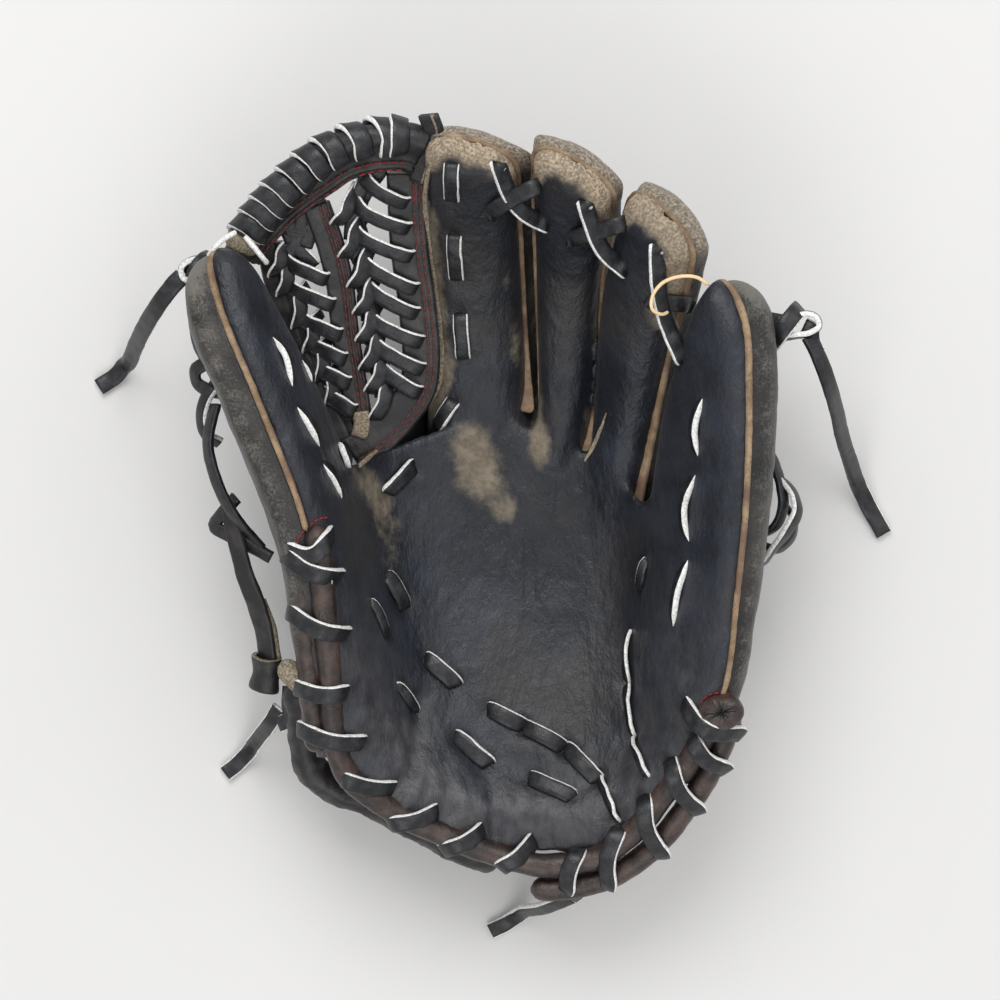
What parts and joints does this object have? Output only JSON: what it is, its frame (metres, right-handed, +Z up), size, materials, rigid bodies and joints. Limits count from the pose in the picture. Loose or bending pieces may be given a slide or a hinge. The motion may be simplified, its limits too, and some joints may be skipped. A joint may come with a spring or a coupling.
{
  "type": "baseball glove",
  "caption": "Leather baseball fielder's glove with laced finger stalls, a laced trapeze web, bound heel and wrist strap, lying open on its back.",
  "frame": {"origin": "under the middle of the bounding box, on the surface that the glove's back lies on", "axes": "+Z up out of the pocket, +Y from the heel to the fingertips, +X from the thumb to the little finger"},
  "size_m": [0.3036, 0.3073, 0.114],
  "materials": {
    "shell_leather": "worn black steerhide with rubbed tan patches",
    "lace_leather": "black rawhide lace with pale raw edges",
    "welt_leather": "raw tan",
    "binding_leather": "dark brown, satin",
    "lining_leather": "smooth tan",
    "felt": "pressed wool felt",
    "fleece": "short pile",
    "stiffener": "matt"
  },
  "bodies": {
    "hand_side": {"palm_shell": "shell_leather", "palm_felt_pad": "felt", "palm_lining": "lining_leather", "index_back": "shell_leather", "middle_back": "shell_leather", "ring_back": "shell_leather", "pinky_back": "shell_leather", "index_welt": "welt_leather", "middle_welt": "welt_leather", "ring_welt": "welt_leather", "pinky_welt": "welt_leather", "pinky_heel_pad": "felt", "pinky_stiffener": "stiffener", "pinky_loop": "shell_leather", "heel_binding": "binding_leather", "pinky_back_binding": "binding_leather", "heel_lace_pinky": "lace_leather", "web_index_strip": "shell_leather", "web_crown_index": "shell_leather", "crown_winding_index": "lace_leather", "ladder_index": "lace_leather", "fingertip_lace_index_middle": "lace_leather", "fingertip_lace_middle_ring": "lace_leather", "fingertip_lace_ring_pinky": "lace_leather", "index_edge_lace": "lace_leather", "pinky_lace": "lace_leather", "palm_lace_pinky": "lace_leather", "palm_lace_middle": "lace_leather", "back_panel": "shell_leather", "wrist_strap": "shell_leather", "strap_fleece": "fleece", "pinky_knot": "lace_leather", "lace_tail_pinky": "lace_leather", "lace_tail_heel": "lace_leather"},
    "thumb_side": {"thumb_shell": "shell_leather", "thumb_back": "shell_leather", "thumb_welt": "welt_leather", "thumb_heel_pad": "felt", "thumb_stiffener": "stiffener", "thumb_lining": "lining_leather", "thumb_loop": "shell_leather", "thumb_binding": "binding_leather", "thumb_back_binding": "binding_leather", "heel_lace_thumb": "lace_leather", "web_post": "shell_leather", "web_thumb_strip": "shell_leather", "web_crown_thumb": "shell_leather", "crown_winding_thumb": "lace_leather", "ladder_thumb": "lace_leather", "thumb_web_lace": "lace_leather", "palm_lace_thumb": "lace_leather", "wrist_strap_thumb": "shell_leather", "strap_keeper": "shell_leather", "thumb_knot": "lace_leather", "lace_tail_thumb": "lace_leather", "lace_tail_wrist": "lace_leather"},
    "strap_tongue": {"strap_tongue": "shell_leather"}
  },
  "joints": [
    {"name": "pocket_fold", "type": "hinge", "parent": "hand_side", "child": "thumb_side", "pos_m": [0.022, -0.131, 0.066], "axis": [-0.2871, 0.9459, 0.1509], "range_deg": [0, 25]},
    {"name": "strap_adjust", "type": "slide", "parent": "thumb_side", "child": "strap_tongue", "axis": [-0.2233, 0.9488, 0.2233], "range_m": [0, 0.01]}
  ]
}
